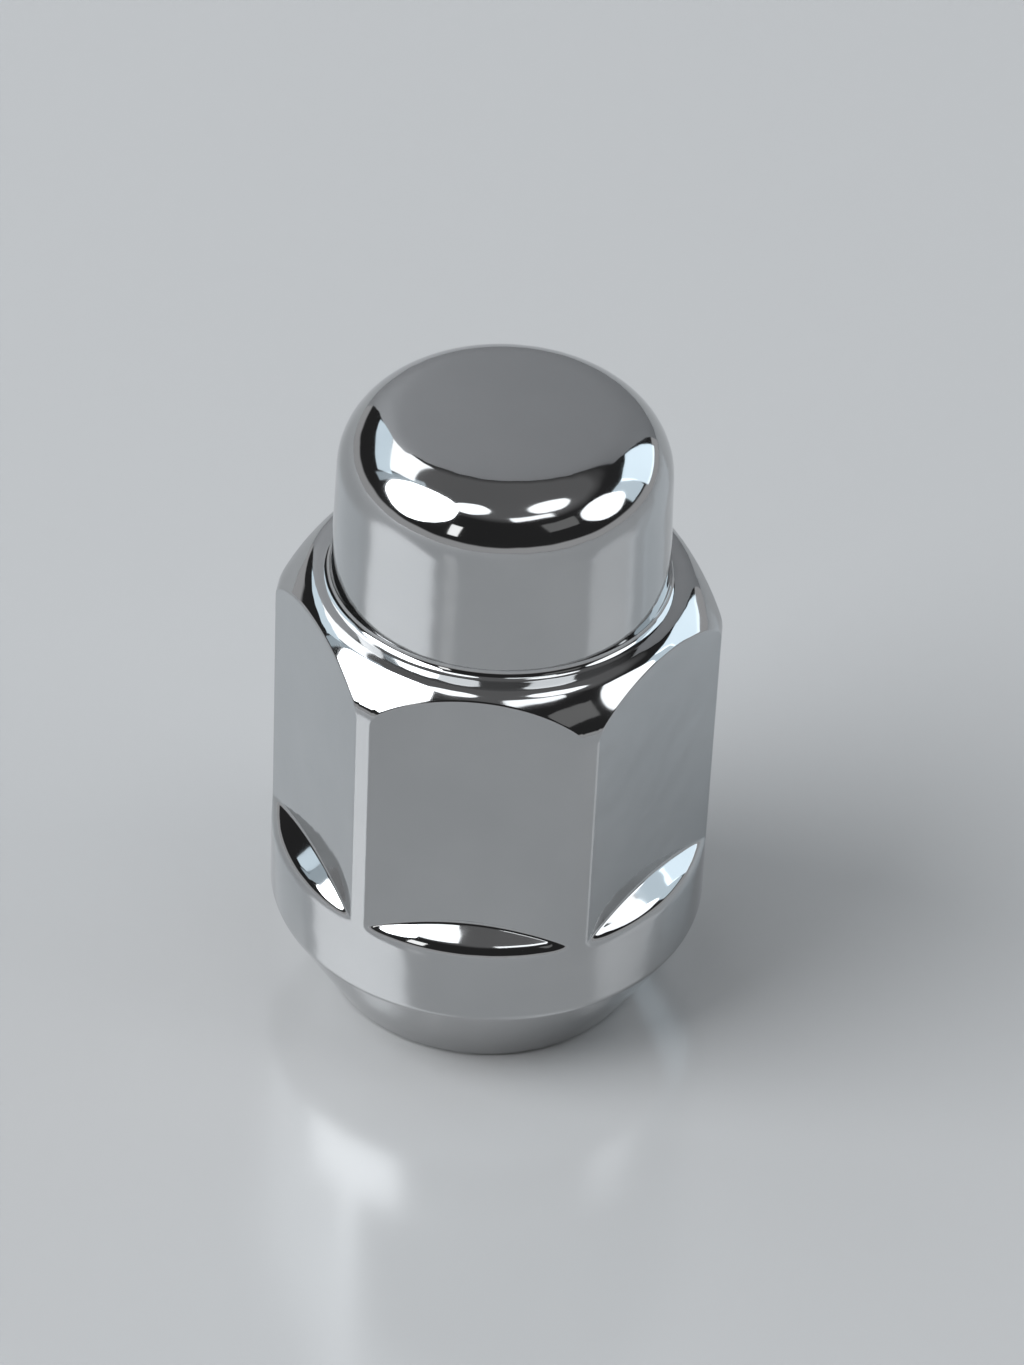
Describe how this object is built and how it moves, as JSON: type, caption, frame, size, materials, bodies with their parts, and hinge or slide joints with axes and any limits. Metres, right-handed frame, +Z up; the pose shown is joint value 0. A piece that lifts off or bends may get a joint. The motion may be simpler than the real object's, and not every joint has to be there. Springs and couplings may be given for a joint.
{
  "type": "lug nut",
  "caption": "Closed-end lug nut: chamfered hexagon with a round base, conical seat and rounded cap over a blind threaded hole, chrome plated.",
  "frame": {"origin": "centre of the seat's end ring, which is the lowest face", "axes": "+Z up the nut's axis from the seat to the cap, one flat of the hexagon faces -Y and two of its corners lie on the X axis"},
  "size_m": [0.0216, 0.0216, 0.0334],
  "materials": {
    "chrome_plate": "polished"
  },
  "bodies": {
    "root": {"lug_nut": "chrome_plate"}
  },
  "joints": []
}
